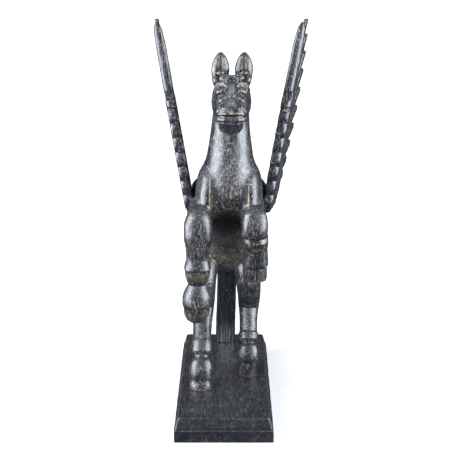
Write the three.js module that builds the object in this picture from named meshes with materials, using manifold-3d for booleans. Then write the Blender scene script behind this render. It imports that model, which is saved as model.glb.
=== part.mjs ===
// A carved wooden winged horse, rearing on its hind legs and tail on a stepped plinth.
// Millimetres, +Z up. The horse faces -Y and its right side is -X. The origin is the middle of the underside.
// The horse and its tail are one carving from glued boards, each wing is a board carved on both faces, and
// the plinth is a fourth piece. Limbs are lofts: rings of a superellipse along a line of stations.
import * as THREE from "three";
import { mergeVertices } from "three/addons/utils/BufferGeometryUtils.js";
import Module from "manifold-3d";

const wasm = await Module();
wasm.setup();

// Driving dimensions
const PLINTH = { width: 240, length: 610, slab: 30, height: 59, topWidth: 220, topLength: 590, ledge: 2 };
const GAP = 0.3; // between two pieces that touch
const FOOT = PLINTH.height + GAP; // where hooves and tail stand
const LEAN = 0.0246; // the figure leans to its left by this share of its height
const BODY_SIDES = 16;
const LIMB_SIDES = 10;
const WING = { y: -62, z: 523, thick: 26, wrist: 280, notch: 22 };
const WING_SIDES = {
  right_wing: { side: -1, x: 96.5, tilt: 10.8, toe: 3 },
  left_wing: { side: 1, x: 94.5, tilt: 8.6, toe: 13 },
};

const radians = THREE.MathUtils.degToRad;
const both = (make) => [make(-1), make(1)];
const row = (count, make) => Array.from({ length: count }, (_, i) => make(i / (count - 1), i));
const join = (...pieces) => pieces.flat(2).reduce((whole, piece) => whole.add(piece));
const cut = (whole, ...pieces) => pieces.flat(2).reduce((rest, piece) => rest.subtract(piece), whole);

// A unit ring of [across, deep] pairs. A power over 2 squares the circle, lobes and depth flute it.
function ring(sides, power = 2, lobes = 0, depth = 0) {
  const bend = (v) => Math.sign(v) * Math.abs(v) ** (2 / power);
  return Array.from({ length: sides }, (_, i) => {
    const turn = (2 * Math.PI * (i + 0.5)) / sides;
    const reach = 1 - depth * (0.5 + 0.5 * Math.cos(lobes * turn));
    return [bend(Math.cos(turn)) * reach, bend(Math.sin(turn)) * reach];
  });
}
const SQUARE = [[1, -1], [1, 1], [-1, 1], [-1, -1]];
const ROUND_BODY = ring(BODY_SIDES, 2.3);
const ROUND_LIMB = ring(LIMB_SIDES, 2.2);

// A closed surface through stations [y, z, halfWidth, halfDepth, x]. Seen from the side, each ring stands
// square to the line of stations.
function loft(stations, section, x = 0) {
  const last = stations.length - 1;
  const points = [];
  const index = [];
  const n = section.length;
  stations.forEach(([y, z, wide, deep, own = x], i) => {
    const before = stations[Math.max(i - 1, 0)];
    const after = stations[Math.min(i + 1, last)];
    const along = new THREE.Vector2(after[0] - before[0], after[1] - before[1]).normalize();
    for (const [across, depth] of section)
      points.push(own + wide * across, y + deep * depth * along.y, z - deep * depth * along.x);
  });
  for (const [y, z, , , own = x] of [stations[0], stations[last]]) points.push(own, y, z);
  for (let j = 0; j < n; j++) {
    const next = (j + 1) % n;
    for (let i = 0; i < last; i++) {
      const [a, b] = [i * n + j, i * n + next];
      index.push(a, b, b + n, a, b + n, a + n);
    }
    index.push(next, j, (last + 1) * n);
    index.push(last * n + j, last * n + next, (last + 1) * n + 1);
  }
  const geometry = new THREE.BufferGeometry();
  geometry.setAttribute("position", new THREE.Float32BufferAttribute(points, 3));
  return geometry.setIndex(index);
}

function solid(source) {
  const geometry = source.clone();
  geometry.deleteAttribute("normal");
  geometry.deleteAttribute("uv");
  const { index, attributes } = mergeVertices(geometry, 1e-3);
  return new wasm.Manifold(new wasm.Mesh({
    numProp: 3,
    vertProperties: new Float32Array(attributes.position.array),
    triVerts: new Uint32Array(index.array),
  }));
}

const tube = (stations, section, x) => solid(loft(stations, section, x));

// An ellipsoid with radii [rx, ry, rz], nodded by `nod` degrees about X
function ball([x, y, z], [rx, ry, rz], nod = 0, sides = 6) {
  const round = new THREE.SphereGeometry(1, sides, Math.ceil(sides * 0.6)).rotateX(Math.PI / 2);
  return solid(round.scale(rx, ry, rz).rotateX(radians(nod)).translate(x, y, z));
}

// Trunk
const TORSO = [
  [124, 306, 22, 22], [128, 326, 46, 52], [116, 354, 68, 78], [90, 392, 79, 90], [50, 441, 75, 84],
  [8, 494, 74, 87], [-28, 544, 73, 84], [-56, 590, 66, 74], [-72, 626, 44, 46],
];
const NECK = [
  [-48, 536, 48, 60], [-54, 548, 63, 82], [-56, 570, 70, 91], [-58, 600, 70, 90], [-60, 630, 63.5, 79],
  [-62, 665, 56, 67], [-65, 708, 49.5, 56], [-70, 752, 45, 50], [-82, 796, 42, 47], [-102, 830, 36, 40],
];
const GROIN = [[58, 376, 44, 40], [68, 340, 32, 32], [76, 314, 16, 18], [80, 301, 5, 6]];
const SHOULDER = {
  x: 56,
  line: [
    [-44, 626, 8, 24], [-56, 608, 19, 52], [-66, 586, 25, 68], [-76, 562, 27, 72], [-88, 534, 27, 64],
    [-97, 508, 25, 50], [-102, 490, 15, 30],
  ],
};

function trunk() {
  return join(
    tube(TORSO, ROUND_BODY),
    tube(NECK, ring(BODY_SIDES, 2.6)),
    tube(GROIN, ring(8)),
    both((side) => tube(SHOULDER.line, ring(LIMB_SIDES, 3), side * SHOULDER.x)),
  );
}

// Head
const HEAD = [
  [-76, 836, 26, 30], [-100, 828, 40, 44], [-134, 815, 43.5, 48], [-166, 803, 39.5, 44], [-198, 791, 35, 39],
  [-224, 782, 33.5, 36], [-242, 776, 32, 33], [-250, 773, 23, 24],
];
const CHEEK = { x: 28, y: -128, z: 798, size: [20, 34, 40] };
const EYE = { x: 31, y: -160, z: 828, size: [11, 13, 8] };
const BROW = { x: 25, y: -156, z: 841, size: [14, 9, 5] };
const NOSTRIL = { x: 24, y: -246, z: 800, size: [5, 7, 8] };
const EAR = {
  x: 28,
  shell: [
    [-106, 834, 15, 11], [-111, 856, 20, 13], [-114, 876, 21.5, 13], [-114, 893, 18, 11],
    [-113, 906, 11.5, 7], [-112, 915, 3.5, 2.5],
  ],
  scoop: [[-126, 851, 8, 7], [-129, 864, 14, 10], [-129, 878, 15, 9], [-126, 893, 11, 6], [-123, 904, 4, 2]],
};
const FORELOCK = { count: 5, spread: 34, fall: 8, y: -150, z: 858, size: [10, 12, 9] };
const LIPS = { y: -262, heights: [786, 762], size: [44, 22, 2.6] };
const CHIN = { y: -216, z: 753, size: [28, 26, 19] };

function head() {
  const { count, spread, fall, y, z, size } = FORELOCK;
  const locks = row(count, (share) => {
    const across = 2 * share - 1;
    return ball([spread * across, y + fall * across ** 2, z - fall * across ** 2], size);
  });
  const pair = (part) => both((side) => ball([side * part.x, part.y, part.z], part.size, 0, 8));
  const skull = join(
    tube(HEAD, ring(BODY_SIDES, 2.6)),
    ball([0, CHIN.y, CHIN.z], CHIN.size, 0, 10),
    [CHEEK, EYE, BROW].map(pair),
    locks,
  );
  const mouth = LIPS.heights.map((height) => ball([0, LIPS.y, height], LIPS.size));
  const ears = both((side) =>
    tube(EAR.shell, ring(10), side * EAR.x).subtract(tube(EAR.scoop, ring(8), side * EAR.x)),
  );
  return join(cut(skull, mouth, pair(NOSTRIL)), ears);
}

// The mane: a crest down the back of the neck, with locks that fall to both sides
const CREST = [
  [-98, 838, 8, 8], [-68, 838, 13, 16], [-40, 810, 14, 17], [-18, 766, 15, 17], [-4, 715, 16, 17],
  [10, 668, 16, 15], [22, 636, 9, 7],
];
const LOCK = { count: 5, size: [14, 12, 28], growth: 3, x: 16, y: -16, z: -12, nod: -38 };

function mane() {
  const line = new THREE.CatmullRomCurve3(CREST.slice(1, 6).map(([y, z]) => new THREE.Vector3(0, y, z)));
  const locks = row(LOCK.count, (share, i) => {
    const { y, z } = line.getPoint(share);
    const size = [LOCK.size[0], LOCK.size[1], LOCK.size[2] + LOCK.growth * i];
    const across = LOCK.x + (LOCK.growth * i) / 2;
    return both((side) => ball([side * across, y + LOCK.y, z + LOCK.z], size, LOCK.nod));
  });
  return join(tube(CREST, ring(8, 2.4)), locks);
}

// Legs, named for the horse's own right and left
const FORE_X = { right: -70.5, left: 61 };
const FOREARM = [[-92, 526, 28, 40], [-140, 512, 32, 38], [-200, 516, 31, 34], [-250, 525, 29, 30]];
const RIGHT_FORE = [
  [-251, 567, 9, 8], [-252, 561, 20, 17], [-253, 549, 28, 26], [-254, 530, 33.5, 32], [-255, 503, 33.5, 31],
  [-254, 476, 29.5, 28], [-252, 450, 27, 26], [-250, 419, 31.5, 31], [-248, 401, 28, 27],
  [-246, 384, 21.5, 21], [-246, 370, 27, 27], [-247, 352, 34, 33], [-248, 330, 34, 33], [-248, 326, 30, 29],
  [-248, 312, 30, 29], [-248, 300, 25, 25], [-247, 291, 15, 16],
];
const LEFT_KNEE = [
  [-251, 567, 11, 9], [-253, 561, 22, 18], [-256, 549, 28.5, 26], [-258, 530, 31, 30], [-259, 508, 30, 27],
  [-257, 499, 24, 20],
];
const LEFT_CANNON = [
  [-262, 530, 22, 20, 61], [-240, 516, 27, 26, 62], [-212, 493, 27.5, 26, 64], [-190, 474, 30, 28, 65],
  [-176, 462, 32, 30, 66], [-169, 446, 28, 29, 67], [-168, 430, 27, 28, 67], [-169, 420, 29, 30, 67],
];
const RIGHT_HIND = [
  [74, 382, 18, 26, -46], [46, 358, 28, 42, -50], [22, 330, 30, 46, -55], [8, 300, 30.5, 40, -58],
  [6, 272, 30, 35, -58.5], [13, 246, 29, 29, -59.5], [4, 224, 27.5, 27, -60], [-14, 204, 25, 25, -60],
  [-38, 180, 24, 24, -60], [-56, 161, 26, 27, -60], [-68, 147, 28.5, 30, -60], [-84, 122, 22, 23, -60],
  [-91, 110, 27.5, 29, -60], [-97, 94, 31.5, 34, -60],
];
const LEFT_HIND = [
  [88, 384, 18, 26, 44], [66, 360, 30, 42, 48], [48, 332, 35, 46, 53], [42, 302, 33, 42, 57],
  [50, 272, 31, 36, 60], [65, 246, 29.5, 30, 61], [64, 224, 27.5, 28, 61], [53, 202, 24.5, 26, 61],
  [38, 178, 23.5, 25, 61], [26, 161, 25, 27, 61], [16, 147, 27, 29, 61], [2, 123, 20, 22, 61.5],
  [-2, 112, 25, 27, 62], [-6, 96, 29, 32, 62],
];
const HAUNCH = { x: 44, y: 90, z: 384, size: [38, 74, 78], nod: 34 };
const HOOVES = [
  { x: 68, y: -169, top: 416, sole: 382, wide: 28.5, flare: 28.5 },
  { x: -60, y: -99, top: 88, sole: FOOT, wide: 29, flare: 33 },
  { x: 62, y: -7, top: 92, sole: FOOT, wide: 25, flare: 26 },
];
const HOOF_LENGTH = 1.08; // of its width

// A rounded rim over a wall that is set in under it
function hoof({ x, y, top, sole, wide, flare }) {
  const rim = wide + 4;
  const stations = [
    [top + 12, wide * 0.9], [top + 4, rim], [top - 2, rim - 1], [top - 3, wide], [sole + 4, flare],
    [sole, flare - 1.5],
  ];
  return tube(stations.map(([z, size]) => [y, z, size, size * HOOF_LENGTH]), ring(LIMB_SIDES, 2.4), x);
}

function legs() {
  return [
    both((side) => tube(FOREARM, ROUND_LIMB, side < 0 ? FORE_X.right : FORE_X.left)),
    tube(RIGHT_FORE, ROUND_LIMB, FORE_X.right),
    tube(LEFT_KNEE, ring(LIMB_SIDES, 2.8), FORE_X.left),
    tube(LEFT_CANNON, ROUND_LIMB, FORE_X.left),
    tube(RIGHT_HIND, ROUND_LIMB),
    tube(LEFT_HIND, ROUND_LIMB),
    both((side) => ball([side * HAUNCH.x, HAUNCH.y, HAUNCH.z], HAUNCH.size, HAUNCH.nod, 10)),
    HOOVES.map(hoof),
  ];
}

const TAIL = [
  [118, 412, 18, 20], [156, 436, 22, 24], [192, 428, 26, 27], [218, 394, 27, 28], [233, 336, 27, 29],
  [242, 265, 27, 29], [247, 160, 27.5, 29], [247, FOOT, 28, 29.5],
];
const TAIL_X = 1.5;
const TAIL_SECTION = ring(12, 3.6, 6, 0.08);

// The board that a wing's root rests on
const SEAT = { x: 64, y: -4, z: 544, size: [36, 56, 44], nod: 20 };
const SEAT_SPACE = { reach: 190, depth: 60, span: 40 };

// A wing is drawn flat: X runs back from the leading edge, Y runs up from the root and Z is the thickness,
// outward positive. The two wings mirror each other and stand at their own tilt and toe.
function placing({ side, x, tilt, toe }) {
  const [rise, spread] = [Math.tan(radians(tilt)), Math.tan(radians(toe))];
  return new THREE.Matrix4().set(
    side * spread, side * rise, side, side * x,
    1, 0, 0, WING.y,
    0, 1, 0, WING.z,
    0, 0, 0, 1,
  );
}

// Turns a loft to lie in the flat wing: its Y runs back, its Z runs up the span
const FLAT = new THREE.Matrix4().set(0, 1, 0, 0, 0, 0, 1, 0, 1, 0, 0, 0, 0, 0, 0, 1);

// One feather: a strip with a round tip, rolled a little about its shaft so that each laps the next
function feather([chord, span], angle, length, width, thick, roll) {
  const half = width / 2;
  const shape = new THREE.Shape();
  shape.moveTo(0, -half * 0.75);
  shape.lineTo(length - half, -half);
  shape.absarc(length - half, 0, half, -Math.PI / 2, Math.PI / 2, false);
  shape.lineTo(0, half * 0.75);
  const strip = new THREE.ExtrudeGeometry(shape, { depth: thick, bevelEnabled: false, curveSegments: 3 });
  strip.translate(0, 0, -thick / 2).rotateX(radians(roll));
  return solid(strip.rotateZ(radians(angle)).translate(chord, span, 0));
}

// Rows of feathers fan out along the arm. Of each pair, the first value is for the wing's tip, the second
// for its root.
const FLIGHT = {
  count: 12, thick: 11, chord: [22, 36], span: [262, 26], angle: [77, -27], length: [204, 84], width: [44, 37],
};
const COVERT = {
  count: 7, thick: 18, chord: [14, 24], span: [262, 26], angle: [78, -26], length: [122, 66], width: [48, 42],
};
const ROLL = 6;
const SCALES = { count: 8, depth: 7 };
const ROOT = { chord: 66, span: 8, belly: 82, armpit: -16 };
const LEADING = [
  [4, 250, 12.5, 13], [9, 310, 12.5, 13], [16, 390, 12.5, 13], [20, 438, 10, 11], [21, 456, 4, 5],
];
const SLOT_DEPTH = 7;

function feathers({ count, chord, span, angle, length, width, thick }) {
  const { lerp } = THREE.MathUtils;
  return row(count, (share) => {
    const reach = lerp(...length, share ** 1.3);
    const base = [lerp(...chord, share), lerp(...span, share)];
    return feather(base, lerp(...angle, share ** 0.9), reach, lerp(...width, share), thick, ROLL);
  });
}

// The arm's outline has a scale-like bump for each covert along its leading edge
function armOutline() {
  const { wrist } = WING;
  const edge = new THREE.QuadraticBezierCurve(
    new THREE.Vector2(8, -6), new THREE.Vector2(-4, wrist / 2), new THREE.Vector2(4, wrist),
  );
  const joints = edge.getPoints(SCALES.count);
  const arm = new THREE.Shape();
  arm.moveTo(joints[0].x, joints[0].y);
  joints.slice(1).forEach((joint, i) => {
    const middle = joints[i].clone().lerp(joint, 0.5);
    arm.quadraticCurveTo(middle.x - 2 * SCALES.depth, middle.y, joint.x, joint.y);
  });
  arm.lineTo(30, wrist + 6);
  arm.quadraticCurveTo(60, 200, 60, 110);
  arm.quadraticCurveTo(ROOT.belly, 50, ROOT.chord, ROOT.span);
  arm.quadraticCurveTo(ROOT.chord / 2, ROOT.armpit, joints[0].x, joints[0].y);
  return arm;
}

function wing() {
  const { thick, wrist, notch } = WING;
  const flat = { depth: thick, bevelEnabled: false, curveSegments: 3 };
  const board = new THREE.ExtrudeGeometry(armOutline(), flat).translate(0, 0, -thick / 2);
  const leading = loft(LEADING, ring(8, 3)).applyMatrix4(FLAT);
  const whole = join([board, leading].map(solid), feathers(FLIGHT), feathers(COVERT));
  const slot = new THREE.BoxGeometry(2 * SLOT_DEPTH, notch, 2 * thick).translate(-SLOT_DEPTH, wrist, 0);
  return geometryOf(whole.subtract(solid(slot)));
}

function geometryOf(piece) {
  const { numProp, vertProperties, triVerts } = piece.getMesh();
  const geometry = new THREE.BufferGeometry();
  geometry.setAttribute("position", new THREE.BufferAttribute(new Float32Array(vertProperties), numProp));
  return geometry.setIndex(new THREE.BufferAttribute(new Uint32Array(triVerts), 1));
}

// A mirrored surface has its triangles turned round, to face out again
function moved(source, matrix) {
  const geometry = source.clone().applyMatrix4(matrix);
  if (matrix.determinant() < 0) geometry.index.array.reverse();
  return geometry;
}

const LEANING = new THREE.Matrix4().set(
  1, 0, LEAN, -LEAN * PLINTH.height,
  0, 1, 0, 0,
  0, 0, 1, 0,
  0, 0, 0, 1,
);

// The flat face that a wing's root rests against, cut off the shoulder
function seatSpace(wingSide) {
  const { reach, depth } = SEAT_SPACE;
  const box = new THREE.BoxGeometry(reach, reach, depth);
  box.translate(reach / 2, SEAT_SPACE.span, (depth - WING.thick) / 2 - GAP);
  return solid(moved(box, placing(wingSide)));
}

function horse() {
  const seats = both((side) => ball([side * SEAT.x, SEAT.y, SEAT.z], SEAT.size, SEAT.nod, 10));
  const body = join(trunk(), head(), mane(), legs(), tube(TAIL, TAIL_SECTION, TAIL_X), seats);
  return moved(geometryOf(cut(body, Object.values(WING_SIDES).map(seatSpace))), LEANING);
}

function plinth() {
  const { width, length, slab, height, topWidth, topLength, ledge } = PLINTH;
  return loft(
    [
      [0, 0, width / 2, length / 2], [0, slab, width / 2, length / 2],
      [0, slab + 0.5, width / 2 - ledge, length / 2 - ledge], [0, height, topWidth / 2, topLength / 2],
    ],
    SQUARE,
  );
}

function named(name, geometry, color, roughness) {
  geometry.computeVertexNormals();
  const made = new THREE.Mesh(geometry, new THREE.MeshStandardMaterial({ color, roughness, metalness: 0 }));
  made.name = name;
  return made;
}

const sculpture = new THREE.Group();
sculpture.add(named("plinth", plinth(), 0x23252b, 0.45));
sculpture.add(named("horse", horse(), 0x2b2e36, 0.4));
const wingShape = wing();
for (const [name, side] of Object.entries(WING_SIDES)) {
  const placed = moved(moved(wingShape, placing(side)), LEANING);
  sculpture.add(named(name, placed, 0x2e323b, 0.4));
}

export default sculpture;
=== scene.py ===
"""A carved, ebonised wooden winged horse on its plinth, for Blender 4.5.

Every piece is sculpted as a signed distance field in millimetres (negative inside), from the same named
stations as the CAD source, and turned into one mesh. The horse faces -Y, its right side is -X.
"""

import math

import bpy
import numpy as np
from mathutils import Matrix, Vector

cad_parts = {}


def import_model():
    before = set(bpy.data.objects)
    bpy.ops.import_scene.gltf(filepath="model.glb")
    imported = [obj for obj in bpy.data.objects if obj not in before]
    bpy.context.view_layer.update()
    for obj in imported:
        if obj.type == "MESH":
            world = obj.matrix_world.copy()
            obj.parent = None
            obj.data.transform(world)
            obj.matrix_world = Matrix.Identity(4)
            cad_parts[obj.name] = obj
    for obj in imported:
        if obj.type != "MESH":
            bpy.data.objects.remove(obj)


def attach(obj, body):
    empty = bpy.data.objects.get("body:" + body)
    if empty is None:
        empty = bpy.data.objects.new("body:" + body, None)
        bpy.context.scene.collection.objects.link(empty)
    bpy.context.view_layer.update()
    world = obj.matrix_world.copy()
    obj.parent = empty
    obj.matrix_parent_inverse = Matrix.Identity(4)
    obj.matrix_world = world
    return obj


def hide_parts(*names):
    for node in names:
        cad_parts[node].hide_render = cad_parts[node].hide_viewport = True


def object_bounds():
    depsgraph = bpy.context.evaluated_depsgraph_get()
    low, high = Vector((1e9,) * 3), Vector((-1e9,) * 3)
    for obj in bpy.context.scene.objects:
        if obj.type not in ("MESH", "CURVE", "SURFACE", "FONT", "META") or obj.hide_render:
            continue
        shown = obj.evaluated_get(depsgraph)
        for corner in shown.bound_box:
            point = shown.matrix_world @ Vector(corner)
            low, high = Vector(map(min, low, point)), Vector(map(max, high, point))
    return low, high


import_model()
cad_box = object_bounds()

# Driving dimensions, in millimetres
PLINTH = {"width": 240, "length": 610, "slab": 30, "height": 59, "top_width": 220, "top_length": 590}
FOOT = 59.3  # where hooves and tail stand
LEAN = 0.0246  # the figure leans to its left by this share of its height
NECK_JOINT = 613  # the glued joint under the neck
SEAM = 47  # the boards' glue seams, each side of the middle
FAR = 40.0
WING = {"y": -62, "z": 523, "thick": 26, "wrist": 280, "notch": 22}
WING_SIDES = {
    "right_wing": {"side": -1, "x": 96.5, "tilt": 10.8, "toe": 3},
    "left_wing": {"side": 1, "x": 94.5, "tilt": 8.6, "toe": 13},
}


# Fields and shapes
class Shape:
    """A distance function of open x, y, z grids, good inside the box low to high."""

    def __init__(self, low, high, distance):
        self.low = np.array(low, float)
        self.high = np.array(high, float)
        self.distance = distance


def smooth_min(a, b, k):
    """The smaller of a and b, rounded over where they are within k of each other."""
    if k <= 0:
        return np.minimum(a, b)
    near = np.maximum(k - np.abs(a - b), 0) / k
    return np.minimum(a, b) - near * near * (k / 4)


class Field:
    """A grid of distances over the box low to high, filled by union and carved by difference."""

    def __init__(self, low, high, step):
        self.low = np.array(low, float)
        self.step = float(step)
        count = np.ceil((np.array(high, float) - self.low) / step).astype(int) + 1
        self.value = np.full(count, FAR, np.float32)
        self.uncut = None

    def window(self, low, high):
        first = np.clip(np.floor((low - self.low) / self.step).astype(int), 0, None)
        last = np.clip(np.ceil((high - self.low) / self.step).astype(int) + 1, None, self.value.shape)
        if np.any(last - first < 2):
            return None
        axes = [
            (self.low[i] + self.step * np.arange(first[i], last[i], dtype=np.float32)).astype(np.float32)
            for i in range(3)
        ]
        place = tuple(slice(a, b) for a, b in zip(first, last))
        return place, axes[0][:, None, None], axes[1][None, :, None], axes[2][None, None, :]

    def _apply(self, shape, k, carve):
        pad = k + 4 * self.step
        found = self.window(shape.low - pad, shape.high + pad)
        if found is None:
            return
        place, x, y, z = found
        old = self.value[place]
        new = shape.distance(x, y, z).astype(np.float32)
        self.value[place] = -smooth_min(-old, new, k) if carve else smooth_min(old, new, k)

    def add(self, shape, k=4.0):
        self._apply(shape, k, False)

    def carve(self, shape, k=1.0):
        self._apply(shape, k, True)

    def below(self, axis, limit):
        """Keeps what lies under limit along axis."""
        self.uncut = self.value.copy()
        self._half(axis, limit, 1)

    def above(self, axis, limit):
        """Keeps what lies over limit along axis."""
        self.uncut = self.value.copy()
        self._half(axis, limit, -1)

    def _half(self, axis, limit, sign):
        along = self.low[axis] + self.step * np.arange(self.value.shape[axis])
        shape = [1, 1, 1]
        shape[axis] = -1
        plane = (sign * (along - limit)).reshape(shape).astype(np.float32)
        np.maximum(self.value, plane, out=self.value)

    def roughen(self, amount, length):
        """Uneven handwork: soft swells of about that height and spacing."""
        axes = [self.low[i] + self.step * np.arange(n) for i, n in enumerate(self.value.shape)]
        for stretch, phase in ((1.0, 0.0), (0.61, 1.7), (0.37, 4.1)):
            pitch = 2 * math.pi / (length * stretch)
            x = np.sin(axes[0] * pitch + phase)[:, None, None]
            y = np.sin(axes[1] * pitch * 0.83 + 2 * phase)[None, :, None]
            z = np.sin(axes[2] * pitch * 0.57 + 3 * phase)[None, None, :]
            self.value += (amount * stretch * x * y * z).astype(np.float32)


def monotone(t, values, at):
    """Values at `at` on a smooth curve through (t, values) that never overshoots them."""
    span = np.diff(t)[:, None]
    slope = np.diff(values, axis=0) / span
    tangent = np.zeros_like(values)
    tangent[0], tangent[-1] = slope[0], slope[-1]
    before, after = slope[:-1], slope[1:]
    weight = (2 * span[1:] + span[:-1], span[1:] + 2 * span[:-1])
    with np.errstate(divide="ignore", invalid="ignore"):
        mean = (weight[0] + weight[1]) / (weight[0] / before + weight[1] / after)
    tangent[1:-1] = np.where(before * after > 0, mean, 0)
    i = np.clip(np.searchsorted(t, at, side="right") - 1, 0, len(t) - 2)
    h = span[i]
    u = ((at - t[i]) / h[:, 0])[:, None]
    start, end = values[i], values[i + 1]
    return (
        (1 + 2 * u) * (1 - u) ** 2 * start
        + u * (1 - u) ** 2 * h * tangent[i]
        + u * u * (3 - 2 * u) * end
        + u * u * (u - 1) * h * tangent[i + 1]
    )


def tube(stations, power=2.2, x=0.0, cap=6.0, dense=5.0, flutes=0, depth=0.0, turned=False):
    """A limb through stations [y, z, half width, half depth, x], each ring square to the line of stations.

    cap rounds its ends, flutes and depth groove it lengthwise, and turned lays it in a wing's flat frame.
    """
    rows = np.array([[*s[:4], s[4] if len(s) > 4 else x] for s in stations], float)
    length = np.r_[0, np.cumsum(np.hypot(*np.diff(rows[:, :2], axis=0).T))]
    at = np.unique(np.r_[length, np.arange(0, length[-1], dense)])
    rows = monotone(length, rows, at)

    def section(y, z):
        best = np.full(np.broadcast_shapes(y.shape, z.shape), np.inf, np.float32)
        found = [np.zeros_like(best) for _ in range(5)]
        for i in range(len(at) - 1):
            (y0, z0), (dy, dz) = rows[i, :2], rows[i + 1, :2] - rows[i, :2]
            size = math.hypot(dy, dz)
            raw = ((y - y0) * dy + (z - z0) * dz) / size**2
            t = np.clip(raw, 0, 1)
            off_y, off_z = y - y0 - t * dy, z - z0 - t * dz
            gap = off_y * off_y + off_z * off_z
            near = gap < best
            best = np.where(near, gap, best)
            side = np.sign(off_y * dz - off_z * dy)
            first, last = i == 0, i == len(at) - 2
            axial = np.full_like(best, -FAR)
            if first:
                axial = np.maximum(axial, -raw * size)
            if last:
                axial = np.maximum(axial, (raw - 1) * size)
            across = np.abs(off_y * dz - off_z * dy) / size
            ended = (first & (raw < 0)) | (last & (raw > 1))
            radial = side * np.where(ended, across, np.sqrt(gap))
            mixed = [rows[i, c] + t * (rows[i + 1, c] - rows[i, c]) for c in (2, 3, 4)]
            for slot, value in zip(found, [radial, axial, *mixed]):
                slot[near] = np.broadcast_to(value, slot.shape)[near]
        return found

    def distance(x, y, z):
        if turned:
            x, y, z = z, x, y
        radial, axial, wide, deep, middle = section(y, z)
        u, v = np.abs(x - middle) / wide, np.abs(radial) / deep
        ring = np.maximum(u**power + v**power, 1e-6) ** (1 / power)
        reach = 1.0
        if flutes:
            turn = np.arctan2(radial / deep, (x - middle) / wide)
            reach = 1 - depth * (0.5 + 0.5 * np.cos(flutes * turn))
        slope = ring ** (1 - power) * np.hypot(u ** (power - 1) / wide, v ** (power - 1) / deep)
        round_ = (ring - reach) / np.maximum(slope, 1e-3)
        return -smooth_min(-round_, -axial, cap)

    margin = rows[:, 2:4].max(axis=1)
    low = [np.min(rows[:, 4] - rows[:, 2]), np.min(rows[:, 0] - margin), np.min(rows[:, 1] - margin)]
    high = [np.max(rows[:, 4] + rows[:, 2]), np.max(rows[:, 0] + margin), np.max(rows[:, 1] + margin)]
    if turned:
        low, high = [low[1], low[2], low[0]], [high[1], high[2], high[0]]
    return Shape(low, high, distance)


def turned_axes(nod=0.0, roll=0.0):
    """Rows are a shape's own axes after a nod about X and a roll about Y, in degrees."""
    n, r = math.radians(nod), math.radians(roll)
    about_x = np.array([[1, 0, 0], [0, math.cos(n), -math.sin(n)], [0, math.sin(n), math.cos(n)]])
    about_y = np.array([[math.cos(r), 0, math.sin(r)], [0, 1, 0], [-math.sin(r), 0, math.cos(r)]])
    return (about_y @ about_x).T


def ball(centre, radii, nod=0.0, roll=0.0):
    """An ellipsoid."""
    axes = turned_axes(nod, roll)
    reach = max(radii)

    def distance(x, y, z):
        p = [x - centre[0], y - centre[1], z - centre[2]]
        q = [sum(a * c for a, c in zip(row, p)) for row in axes]
        near = np.sqrt(sum((a / r) ** 2 for a, r in zip(q, radii)))
        slope = np.sqrt(sum((a / r**2) ** 2 for a, r in zip(q, radii)))
        return near * (near - 1) / np.maximum(slope, 1e-4)

    return Shape(np.array(centre) - reach, np.array(centre) + reach, distance)


def rod(points, radii, flat=1.0):
    """A round bar along points, its radius changing from point to point. flat squashes it across X."""
    points = [np.array(p, float) for p in points]
    reach = max(radii)

    def distance(x, y, z):
        best = FAR
        for (a, b), (ra, rb) in zip(zip(points, points[1:]), zip(radii, radii[1:])):
            d = b - a
            t = ((x - a[0]) * d[0] + (y - a[1]) * d[1] + (z - a[2]) * d[2]) / float(d @ d)
            t = np.clip(t, 0, 1)
            gap = ((x - a[0] - t * d[0]) / flat) ** 2
            gap = gap + (y - a[1] - t * d[1]) ** 2 + (z - a[2] - t * d[2]) ** 2
            best = np.minimum(best, np.sqrt(gap) - (ra + t * (rb - ra)))
        return best

    return Shape(np.min(points, axis=0) - reach, np.max(points, axis=0) + reach, distance)


def both(field, make, k=4.0, carve=False):
    """Adds or carves make(side) on the horse's right and left."""
    for side in (-1, 1):
        (field.carve if carve else field.add)(make(side), k)


# Meshing
CORNERS = np.array([[i, j, k] for i in (0, 1) for j in (0, 1) for k in (0, 1)])
EDGES = [(a, b) for a in range(8) for b in range(a + 1, 8) if np.abs(CORNERS[a] - CORNERS[b]).sum() == 1]


def surface(field):
    """Vertices in millimetres and four-sided faces of the field's zero surface, by surface nets."""
    value = field.value
    inside = value < 0
    cells = np.array(value.shape) - 1
    count = np.zeros(cells, np.uint8)
    for corner in CORNERS:
        count += inside[tuple(slice(c, c + n) for c, n in zip(corner, cells))]
    mixed = (count > 0) & (count < 8)
    index = np.full(cells, -1, np.int32)
    index[mixed] = np.arange(np.count_nonzero(mixed), dtype=np.int32)
    where = np.argwhere(mixed)
    at = [value[tuple((where + corner).T)] for corner in CORNERS]
    total = np.zeros((len(where), 3), np.float32)
    hits = np.zeros((len(where), 1), np.float32)
    for a, b in EDGES:
        crossed = (at[a] < 0) != (at[b] < 0)
        t = np.divide(at[a], at[a] - at[b], out=np.zeros_like(at[a]), where=crossed)[:, None]
        total += crossed[:, None] * (CORNERS[a] + t * (CORNERS[b] - CORNERS[a]))
        hits += crossed[:, None]
    points = field.low + field.step * (where + total / hits)
    faces = []
    for axis in range(3):
        start = [slice(1, n) for n in cells]
        start[axis] = slice(0, cells[axis])
        ahead = list(start)
        ahead[axis] = slice(1, cells[axis] + 1)
        near, far = inside[tuple(start)], inside[tuple(ahead)]
        edge = np.argwhere(near != far)
        outward = near[near != far]
        base = edge + [0 if i == axis else 1 for i in range(3)]
        b, c = [(1, 2), (2, 0), (0, 1)][axis]
        corners = []
        for db, dc in ((1, 1), (0, 1), (0, 0), (1, 0)):
            place = base.copy()
            place[:, b] -= db
            place[:, c] -= dc
            corners.append(index[tuple(place.T)])
        quads = np.stack(corners, 1)
        quads[~outward] = quads[~outward][:, ::-1]
        faces.append(quads)
    return points, np.concatenate(faces)


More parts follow.
